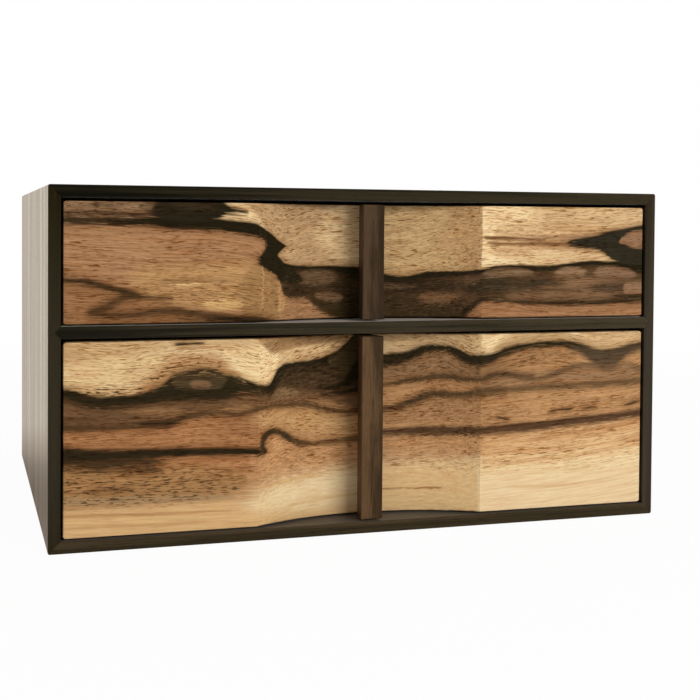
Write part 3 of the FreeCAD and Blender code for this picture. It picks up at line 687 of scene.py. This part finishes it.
     ((129, 53), (133, 52.8, 49.6), (138, 50.9, 47.9), (144, 50.2, 47.2), (152, 50.2, 47.2),
      (160, 50.6, 47.4), (168, 51.2, 47.8), (175, 51.8, 48.6))),
    ("dash at the top edge", EBONY, 0.9, 0.8, 0.8,
     ((61, 107.2), (68, 107.8, 106.6), (74, 107.8, 106.7), (81, 107.3, 107.1))),
    ("black waves right of the bar", (38, 32, 16), 1.0, 1.8, 2.8,
     ((180, 97.2, 90.4), (190, 97.5, 90.4), (196, 97.8, 91.2), (202, 99.4, 93.5), (210, 101.8, 96.8),
      (217, 102.6, 98.6), (223, 102.4, 97.8), (228, 100.6, 94.1), (233, 97.8, 91.4), (238, 97, 90.9),
      (243, 97.3, 91.5), (248, 98.3, 93.4), (255, 100.8, 96.6), (263, 102.6, 98.8), (275, 104.1, 100.6),
      (285, 104.3, 101), (295, 103.7, 100.2), (303, 101.9, 98), (310, 99.7, 95), (317, 98.5, 94),
      (323, 98.7, 95), (330, 100.1, 96.8), (337, 101.7, 98.2), (350, 103.2, 99.8))),
    ("brown fall of the waves", (74, 60, 44), 0.95, 1.4, 4,
     ((294, 100, 99.6), (302, 101, 95.4), (308, 99.5, 91.4), (314, 98.6, 87.8), (318, 98.4, 86),
      (323, 98.6, 86.6), (328, 99.4, 90), (333, 100.6, 94), (341, 101.5, 98), (348, 102, 101))),
    ("second line right of the bar", (70, 54, 34), 0.9, 1.6, 2,
     ((180, 80.5, 78.5), (190, 81, 79), (200, 83.4, 80.4), (207, 84.5, 81.3), (215, 85.3, 82.1),
      (225, 85.9, 82.5), (233, 84.3, 81.5), (240, 84.5, 81.7), (246, 86.5, 83.5), (252, 87.1, 84.6),
      (258, 86.5, 84.2), (265, 84.9, 82.8), (273, 83.5, 82))),
    ("its brown end", (102, 78, 53), 0.85, 1.7, 2.1,
     ((262, 85, 84), (272, 83.6, 81.4), (280, 84.8, 81.6), (287, 87, 83.6), (295, 90, 86.4),
      (303, 91.2, 88.2), (310, 90.8, 88.2), (320, 89.6, 88.8))),
    ("line from the fall to the right end", (110, 84, 58), 0.7, 1.7, 2.4,
     ((316, 88, 86), (325, 90, 87), (333, 91.2, 88.2), (340, 89.4, 85), (350, 86, 82))),
    ("third line right of the bar", (70, 54, 34), 0.95, 2.4, 3.6,
     ((180, 66.8, 64), (190, 67.5, 64.6), (197, 69.5, 65.8), (204, 72.5, 67.8), (210, 75.1, 70.4),
      (217, 76.5, 72), (224, 75.9, 72), (230, 75.7, 72.2), (237, 77.5, 73), (245, 78.3, 74.2),
      (256, 77.8, 75.4))),
    ("its brown run", (94, 71, 46), 0.95, 2.2, 3.6,
     ((236, 77.2, 74.4), (245, 78.3, 74), (260, 78.7, 74.7), (280, 79.5, 75.3), (300, 79.9, 75.7),
      (320, 80.5, 76.1), (350, 81.3, 76.9))),
    ("broad brown line", (82, 59, 40), 1.0, 2.2, 3.2,
     ((180, 53.9, 50.4), (195, 54.5, 50.5), (205, 55.5, 50.4), (215, 55.9, 50.2), (225, 56.1, 50.4),
      (240, 56.3, 51), (255, 57.3, 51.6), (270, 57.7, 52), (285, 58.5, 53.2), (300, 59.9, 54.6),
      (315, 60.5, 55.4), (330, 61.7, 56.6), (350, 63.6, 58.4))),
    ("first dash over it", EBONY, 0.75, 0.8, 0.8,
     ((246, 61.6), (250, 62, 60.8), (256, 60.4, 59.2), (262, 59.5))),
    ("second dash", EBONY, 0.85, 0.8, 0.8,
     ((278, 62.7), (284, 63.6, 62.5), (290, 64.4, 63.1), (297, 64.7, 63.6), (300, 64.3))),
    ("third dash", (52, 38, 24), 0.65, 0.8, 0.8,
     ((300, 64.1), (305, 65, 63.8), (312, 65.3, 64), (318, 64.6))),
    ("fourth dash", EBONY, 0.75, 0.8, 0.8, ((327, 64.4), (333, 66.1, 64.8), (340, 67.6, 66.4), (347, 68))),
    ("grey foot of the dashes", (158, 129, 92), 0.8, 2, 1.7,
     ((5, 28.8, 24.8), (30, 28.2, 24.2), (60, 27.2, 23.2), (80, 26.2, 22.8), (98, 24.6, 24))),
    ("first thread among the dashes", (84, 56, 32), 0.85, 0.9, 0.9,
     ((5, 43, 42.2), (12, 43, 42.2), (20, 42.4, 41.6), (28, 41.8, 41), (36, 41.4, 41))),
    ("second thread among the dashes", (72, 50, 30), 0.9, 0.9, 0.9,
     ((37, 41.2), (44, 41.5, 40.7), (52, 41.3, 40.3), (58, 40.9, 40.3), (62, 40.5))),
    ("third thread among the dashes", (80, 54, 32), 0.85, 0.9, 0.9,
     ((18, 31.8), (22, 32.2, 31.2), (27, 31.6, 31.2), (34, 31.5, 30.7), (40, 31.2, 30.6), (47, 31.3))),
    ("first low thread, left", (168, 124, 80), 0.75, 1.2, 1.2,
     ((5, 19.9, 18.8), (30, 19.3, 18), (60, 18.2, 16.9), (96, 17, 16.8))),
    ("second low thread, left", (176, 134, 88), 0.6, 1.2, 1.2,
     ((5, 13.4, 12.6), (35, 13, 12), (70, 11.6, 10.8), (100, 11))),
    ("thread in the foot of the hollow", (198, 158, 106), 0.8, 1.8, 2.4,
     ((102, 27), (112, 29.4, 27.6), (122, 30, 28), (134, 31.2, 29), (146, 31.6, 30), (160, 31.4))),
    ("low thread in the hollow", (206, 168, 116), 0.7, 1.6, 2,
     ((118, 14), (130, 16.6, 15), (145, 18, 16.2), (160, 18.6, 17), (175, 18.8, 17.4))),
    ("orange thread by the bar", (150, 98, 54), 0.9, 0.9, 0.9,
     ((180, 20.5, 19.9), (197, 20.5, 19.9), (206, 20.7, 19.8), (212, 21, 19.7), (218, 20.8, 19.9),
      (225, 20.3))),
    ("first low thread, right", (196, 152, 104), 0.7, 1.4, 1.4,
     ((238, 34), (255, 35.4, 34), (280, 36.6, 35), (300, 38, 36.4), (322, 40.6, 39), (350, 45.6, 44))),
    ("second low thread, right", (184, 138, 92), 0.7, 1.2, 1.4,
     ((240, 41), (252, 41.6, 40.2), (266, 41.4, 40), (285, 41.8, 40.6), (305, 42.8, 41.6),
      (330, 45.2, 44.2), (350, 49, 48.4))),
    ("third low thread, right", (206, 166, 118), 0.6, 1.4, 1.4,
     ((245, 20.8), (262, 21.4, 19.8), (285, 20.8, 19.4), (310, 21.6, 20.6), (330, 23))),
    ("fourth low thread, right", (170, 124, 82), 0.7, 1.2, 1.6,
     ((262, 47.4), (275, 48.8, 47.4), (295, 50.4, 49), (315, 53, 51.6), (350, 58, 57))),
)
LOWER_FIGURE_UPRIGHT = (
    ("stem of the crook", (58, 45, 26), 1.0, 1.6, 1.6,
     ((44.8, 114.8), (46.2, 116, 112.6), (48, 115.6, 111.9), (50, 115, 111.6), (52, 114.8, 111.7),
      (54, 115.3, 112.1), (56, 116.6, 113), (57.6, 118, 114.6), (58.8, 117.6))),
)
# The same, for fields where the pores are wide and dark enough to show as rows of dashes.
UPPER_DASHES = (
    ("ashen strip", (52, 39, 24), 0.6, 1.5, 1.5,
     ((5, 183, 173), (30, 183, 173), (54, 183, 173.5), (62, 179, 176))),
    ("by the straw patch", (104, 74, 44), 0.6, 4, 3,
     ((48, 138, 132), (62, 141, 128), (80, 142, 127), (96, 140, 128), (106, 136, 131))),
    ("right end", (150, 112, 74), 0.5, 4, 4,
     ((241.5, 176, 158), (265, 176, 158), (290, 172, 160), (300, 168, 163))),
    ("specks under the threads", (158, 100, 62), 0.7, 2, 2,
     ((258, 156), (264, 159, 153), (274, 159, 152.5), (280, 156), (294, 156), (300, 158, 153.5),
      (308, 157.5, 153.5), (312, 156))),
    ("flecks in the heart, left of the bar", (104, 81, 56), 0.22, 3, 3,
     ((126, 145, 135), (140, 144, 130), (155, 143, 125), (172, 141, 120))),
    ("flecks in the heart, right of the bar", (124, 95, 68), 0.2, 3, 3,
     ((180, 138, 110), (205, 139, 112), (228, 142, 120), (245, 144, 129), (300, 146, 127),
      (342, 146, 129))),
)
LOWER_DASHES = (
    ("under the straight line", (62, 46, 28), 0.75, 5, 3,
     ((5, 47, 24.5), (20, 45, 24), (40, 44, 23.5), (60, 43, 23), (78, 41, 24), (90, 38, 26.5),
      (104, 33, 30.5))),
    ("over the band's left end", (60, 45, 25), 0.9, 4, 1,
     ((14, 84, 81), (22, 86, 79.5), (32, 86, 79), (42, 86, 79.5), (50, 89, 82), (58, 94, 86), (66, 98, 91),
      (80, 99, 92.5), (88, 97, 92), (93, 94, 93))),
    ("cream flecks in the band's edge", (158, 126, 84), 0.6, 1.5, 2,
     ((44, 81), (52, 84.6, 81.4), (58, 88.6, 84.6), (67, 94, 88), (74, 95.4, 89.5), (82, 95.6, 90),
      (89, 94, 89), (96, 91.4, 88), (105, 88, 85.4))),
    ("flecks in the grey heart", (108, 86, 62), 0.25, 3, 3,
     ((120, 88, 80), (132, 92.5, 78), (148, 93.5, 77), (160, 96, 78))),
    ("pale flecks under the band", (158, 122, 84), 0.4, 3, 3,
     ((5, 77, 68), (30, 74, 68), (60, 75, 70), (90, 76, 73), (108, 78, 74))),
    ("in the cream over the hump", (140, 98, 58), 0.6, 5, 5,
     ((40, 98, 92), (58, 104, 95), (80, 106, 97), (98, 104, 94), (110, 98, 92))),
    ("in the salmon, left", (118, 78, 46), 0.6, 3, 3,
     ((5, 63, 54), (40, 62, 54), (75, 66, 54), (105, 66, 52))),
    ("under the soft band", (92, 66, 40), 0.7, 2, 2,
     ((5, 78, 67), (30, 76, 67), (62, 76, 68), (92, 78, 72))),
    ("right of the bar, high", (70, 52, 32), 0.55, 3, 3,
     ((180, 94, 84), (200, 96, 84), (214, 99, 86), (224, 98, 86), (234, 93, 85), (239, 92, 86))),
    ("under the long wave", (100, 70, 42), 0.7, 2, 2,
     ((250, 97, 91), (265, 99, 91), (285, 98, 91), (296, 95, 91))),
    ("right of the bar, middle", (80, 56, 34), 0.32, 3, 2,
     ((180, 63, 56), (200, 66, 57), (218, 70, 57.5), (239, 69, 58), (256, 66, 59))),
    ("over the broad brown line", (96, 66, 38), 0.35, 4, 1.5,
     ((250, 68, 60), (280, 70, 61), (310, 71, 63), (350, 74, 66))),
    ("under the crook", (150, 108, 68), 0.6, 4, 6, ((124, 48, 38), (140, 47, 36), (175, 47, 36))),
    ("under the broad brown line", (146, 106, 68), 0.25, 4, 8,
     ((180, 48, 36), (210, 49, 36), (239, 50, 38), (270, 52, 44), (310, 54, 48), (350, 58, 52))),
)
# Courses of the fine grain: (along, foot, middle, top of the board), how far it rises or dips there.
UPPER_COURSE = (
    (0, 3, 3, 2), (30, 2, 2, 1), (60, 3, 0, 0.5), (90, 0, 0, -1), (110, -2, -3, -3), (125, -1, -8, -6),
    (145, 0, -5, -4), (175, 0, -5, -3), (200, 0, -5, -2), (225, 2, -2, 1), (245, 5, 0, 1), (280, 3, 0, 1),
    (320, 3, 2, 2), (350, 4, 3, 6))
LOWER_COURSE = (
    (0, 2, 2, 0), (20, 1, 1, -2), (35, 0.5, 0.5, -3), (55, 0, 0, -1), (75, -0.5, 1, 1), (97, -1, 0.5, 0),
    (115, -1, 0, -4), (126, -1, 2, 1), (140, 0, 1, 4), (165, 1, -1, 10), (180, 1, 0, 8), (200, 1, 1, 4),
    (218, 1, 3, 7), (238, 1, 3, 1), (260, 2, 4, 6), (285, 3, 5, 8), (315, 6, 7, 4), (350, 11, 11, 8))


def board_share(tree, length):
    """A length as a share of the board's, three times over, for the curves to read."""
    share = calc(tree, "DIVIDE", length, chest_high.x - LEFT_END)
    three = add(tree, "CombineColor")
    for target in three.inputs:
        join(tree, share, target)
    return three.outputs[0]


def course_curves(tree, along, rows, handle):
    """Three values that follow a list of places along the board."""
    curves = add(tree, "RGBCurve")
    curves.mapping.use_clip = False
    curves.mapping.extend = "HORIZONTAL"
    for channel in range(3):
        points = curves.mapping.curves[channel].points
        while len(points) < len(rows):
            points.new(0.0, 0.0)
        for point, row in zip(points, rows):
            point.location = (row[0] * MM / (chest_high.x - LEFT_END), row[1 + channel] * MM)
            point.handle_type = handle
    curves.mapping.update()
    join(tree, along, curves.inputs["Color"])
    values = add(tree, "SeparateColor")
    join(tree, curves.outputs[0], values.inputs[0])
    return values.outputs


def streak_tool():
    """A node group that lays one streak over the wood, with its edges frayed along the grain."""
    tool = bpy.data.node_groups.new("streak", "ShaderNodeTree")
    for name in ("Wood", "Colour", "Across", "Upper Edge", "Lower Edge", "Strength", "Upper Blur",
                 "Lower Blur", "Stain", "Fray", "Cover"):
        kind = "NodeSocketColor" if name in ("Wood", "Colour") else "NodeSocketFloat"
        tool.interface.new_socket(name, in_out="INPUT", socket_type=kind)
    tool.interface.new_socket("Wood", in_out="OUTPUT", socket_type="NodeSocketColor")
    given = tool.nodes.new("NodeGroupInput").outputs
    below_top = minus(tool, given["Upper Edge"], given["Across"])
    above_foot = minus(tool, given["Across"], given["Lower Edge"])

    def share_inside(spare):
        """How far inside the streak a place lies, from 0 to 1, with its edges moved out by the spare."""
        top = calc(tool, "DIVIDE", plus(tool, below_top, spare), plus(tool, given["Upper Blur"], spare * 2))
        foot = calc(tool, "DIVIDE", plus(tool, above_foot, spare), plus(tool, given["Lower Blur"], spare * 2))
        inside = plus(tool, calc(tool, "MINIMUM", top, foot), 0.5)
        inside = calc(tool, "MAXIMUM", plus(tool, inside, given["Fray"]), 0.0)
        inside = calc(tool, "MINIMUM", inside, 1.0)
        return times(tool, times(tool, inside, given["Strength"]), given["Cover"])

    stain = times(tool, share_inside(STAIN_MM * MM), given["Stain"])
    wood = laid_over(tool, stain, given["Wood"], STAIN, "MULTIPLY")
    result = tool.nodes.new("NodeGroupOutput")
    join(tool, laid_over(tool, share_inside(0.0), wood, given["Colour"]), result.inputs[0])
    return tool


streak_group = streak_tool()


def closed(edges):
    """The edges of a streak, drawn to a point where they stop short. A pair is a point already."""
    edges = tuple((edge[0], edge[1], edge[-1]) for edge in edges)
    first, last = edges[0], edges[-1]
    start = (first[0] - STREAK_POINT_MM,) + ((first[1] + first[2]) / 2,) * 2
    end = (last[0] + STREAK_POINT_MM,) + ((last[1] + last[2]) / 2,) * 2
    return (start,) * (first[1] != first[2]) + edges + (end,) * (last[1] != last[2])


def lay_streaks(tree, wood, streaks, along, across, fray, cover=1.0):
    """Lays a list of streaks over the wood, one after another."""
    for _, colour, strength, upper_blur, lower_blur, edges in streaks:
        rows = []
        for place, upper, lower in closed(edges):
            shut = upper == lower
            if shut:
                upper, lower = upper - upper_blur / 2, lower + lower_blur / 2
            rows.append((place, upper, lower, 0 if shut else strength / MM))
        rows.insert(0, (rows[0][0] - STREAK_REST_MM,) + rows[0][1:])
        rows.append((rows[-1][0] + STREAK_REST_MM,) + rows[-1][1:])
        curves = course_curves(tree, along, rows, "AUTO_CLAMPED")
        layer = add(tree, "Group", node_tree=streak_group)
        join(tree, wood, layer.inputs["Wood"])
        join(tree, across, layer.inputs["Across"])
        for value, name in zip(curves, ("Upper Edge", "Lower Edge", "Strength")):
            join(tree, value, layer.inputs[name])
        set_inputs(layer, {
            "Upper Blur": upper_blur * MM,
            "Lower Blur": lower_blur * MM,
            "Colour": paint(*colour),
            "Stain": STAIN_SHARE if sum(colour) < STAIN_BELOW else 0.0,
        })
        join(tree, fray, layer.inputs["Fray"])
        join(tree, cover, layer.inputs["Cover"])
        wood = layer.outputs[0]
    return wood


def between(tree, share, first, second):
    """A value between two others, by a share from 0 to 1."""
    node = add(tree, "Mix", data_type="FLOAT")
    join(tree, share, node.inputs["Factor"])
    join(tree, first, node.inputs[2])
    join(tree, second, node.inputs[3])
    return node.outputs[0]


def swing(tree, noise, reach):
    """A noise as a shift to either side, by up to half the reach."""
    return times(tree, minus(tree, noise, 0.5), reach)


def figured_wood(level, streaks, upright_streaks, dashes, course, calm_mm):
    """The wood of a drawer front. Each node is made after the ones it reads, which keeps the shader small."""
    finish, tree, shader = new_finish(level + "_front_wood")
    corners = nodes[level + "_drawer_front"].bound_box
    flat_face = min(corner[1] for corner in corners)
    foot = min(corner[2] for corner in corners)
    top = max(corner[2] for corner in corners)
    middle = (foot + top) / 2
    x, y, z = parts_of(tree, add(tree, "TexCoord").outputs["Object"])

    # The fine grain rises and dips with the streaks: its course is blended from foot to middle to top.
    bends = course_curves(tree, board_share(tree, minus(tree, x, LEFT_END)), course, "AUTO")
    lower_share = spread(tree, z, foot, middle)
    upper_share = spread(tree, z, middle, top)
    bend = between(tree, lower_share, bends["Red"], bends["Green"])
    bend = between(tree, upper_share, bend, bends["Blue"])
    grain_place = vector_of(tree, x, times(tree, y, GRAIN_DEPTH), minus(tree, z, bend))

    broad = grain_noise(tree, grain_place, 70, 9, ALONG_X, 2, 3.7)
    lines = grain_noise(tree, grain_place, 30, 1.1, ALONG_X, 3, 1.9)
    fibres = grain_noise(tree, grain_place, 9, 0.4, ALONG_X, 2, 7.7)
    wander = grain_noise(tree, grain_place, 16, 2.4, ALONG_X, 2, 11.3)
    pore_noise = grain_noise(tree, grain_place, 4.5, 0.5, ALONG_X, 1, 15.1)
    dash_noise = grain_noise(tree, grain_place, 7.5, 0.75, ALONG_X, 1, 33.7)

    # The streaks' edges wander and fray along the grain. Their places along the board sway too, so that the
    # curves of all the streaks aren't worked out before the noise, which would overflow the shader.
    sway = plus(tree, swing(tree, wander, SWAY_MM * MM), swing(tree, fibres, FINE_SWAY_MM * MM))
    height = plus(tree, z, sway)

    # Over the top edge the figure drifts sideways with the depth, and no streak crosses the edge squarely.
    depth = minus(tree, y, flat_face)
    drift = plus(tree, swing(tree, broad, TOP_DRIFT), TOP_DRIFT_MEAN)
    drift = times(tree, drift, spread(tree, z, *(top - below * MM for below in TOP_DRIFT_MM)))
    length = plus(tree, minus(tree, x, LEFT_END), times(tree, depth, drift))
    along = board_share(tree, plus(tree, length, times(tree, sway, 0.4)))
    upright = board_share(tree, height)
    length = plus(tree, length, times(tree, sway, 1.2))
    fray = swing(tree, fibres, FRAY)

    wood = laid_over(tree, spread(tree, broad, 0.3, 0.7), paint(*CREAM), paint(*HONEY))
    wood = laid_over(tree, 0.65, wood, paint(*CREAM))
    wood = lay_streaks(tree, wood, streaks, along, height, fray)
    wood = lay_streaks(tree, wood, upright_streaks, upright, length, fray)

    wide_pores = grain_noise(tree, grain_place, 4.6, 0.66, ALONG_X, 2, 51.3)
    wood = lay_streaks(tree, wood, dashes, along, height, fray, spread(tree, wide_pores, 0.53, 0.62))

    # Threads, fibres and fine pores lie over everything; the foot of the lower board is calmer.
    calm = spread(tree, z, (calm_mm - CALM_BLUR_MM) * MM, (calm_mm + CALM_BLUR_MM) * MM, 0.12, 1.0)
    threads = grain_noise(tree, grain_place, 60, 1.4, ALONG_X, 2, 41.9)
    threads = spread(tree, threads, 0.54, 0.68, 0.0, 0.75)
    threads = times(tree, threads, spread(tree, calm, 0, 1, 0.4, 1))
    wood = laid_over(tree, threads, wood, THREAD_BROWN, "MULTIPLY")
    tone = plus(tree, times(tree, lines, 0.55), times(tree, fibres, 0.45))
    weave = laid_over(tree, spread(tree, tone, 0.36, 0.64), DARK_FIBRE, PALE_FIBRE)
    wood = laid_over(tree, spread(tree, calm, 0, 1, 0.28, 0.5), wood, weave, "OVERLAY")
    crowd = spread(tree, grain_noise(tree, grain_place, 28, 6, ALONG_X, 1, 21.4), 0.35, 0.65)
    pores = spread(tree, plus(tree, pore_noise, times(tree, crowd, 0.06)), 0.59, 0.68)
    pores = times(tree, pores, calm)
    wood = laid_over(tree, pores, wood, FINE_PORE, "MULTIPLY")
    dashes = spread(tree, plus(tree, dash_noise, times(tree, crowd, 0.07)), 0.67, 0.73)
    dashes = times(tree, dashes, calm)
    wood = laid_over(tree, dashes, wood, COARSE_PORE, "MULTIPLY")
    pores = calc(tree, "MAXIMUM", pores, dashes)
    join(tree, wood, shader.inputs["Base Color"])
    join(tree, spread(tree, tone, 0.3, 0.7, 0.40, 0.54), shader.inputs["Roughness"])
    shader.inputs["Specular IOR Level"].default_value = 0.08
    emboss(tree, shader, minus(tree, tone, pores), 0.05)
    return finish


FRONT_FIGURES = {
    "upper": (UPPER_FIGURE, UPPER_FIGURE_UPRIGHT, UPPER_DASHES, UPPER_COURSE, UPPER_CALM_MM),
    "lower": (LOWER_FIGURE, LOWER_FIGURE_UPRIGHT, LOWER_DASHES, LOWER_COURSE, LOWER_CALM_MM),
}
for level, figure in FRONT_FIGURES.items():
    dress(level + "_drawer_front", figured_wood(level, *figure))

# ---- Pulls
# An upright bar of dark brown wood crosses each hollow. It narrows to a foot behind, so that fingers in the
# hollow catch it from either side, and two screws from inside the drawer hold it. The lower bar is paler.
PULL_TONES = {"upper": ((48, 36, 24), (74, 57, 41)), "lower": ((56, 42, 27), (94, 71, 48))}
PULL_PORE = (24, 18, 11)
for level, tones in PULL_TONES.items():
    finish, shader = plain_wood(level + "_pull_wood", ALONG_Z, tones, PULL_PORE, 0.6, 0.42, 48, -25)
    shader.inputs["Specular IOR Level"].default_value = 0.08
    dress(level + "_drawer_pull", finish)

# ---- Pull screws
# Brass screws with countersunk heads, turned in from the inside of the drawer front, two to each bar. Their
# slots are clean and their polish is a little uneven.
brass, tree, shader = new_finish("screw_brass")
set_inputs(shader, {"Base Color": (0.58, 0.42, 0.18, 1), "Metallic": 1.0})
polish = grain_noise(tree, add(tree, "TexCoord").outputs["Object"], 0.3, 0.3, ALONG_X)
join(tree, spread(tree, polish, 0.3, 0.7, 0.24, 0.42), shader.inputs["Roughness"])
for level in ("upper", "lower"):
    dress(level + "_pull_screws", brass)
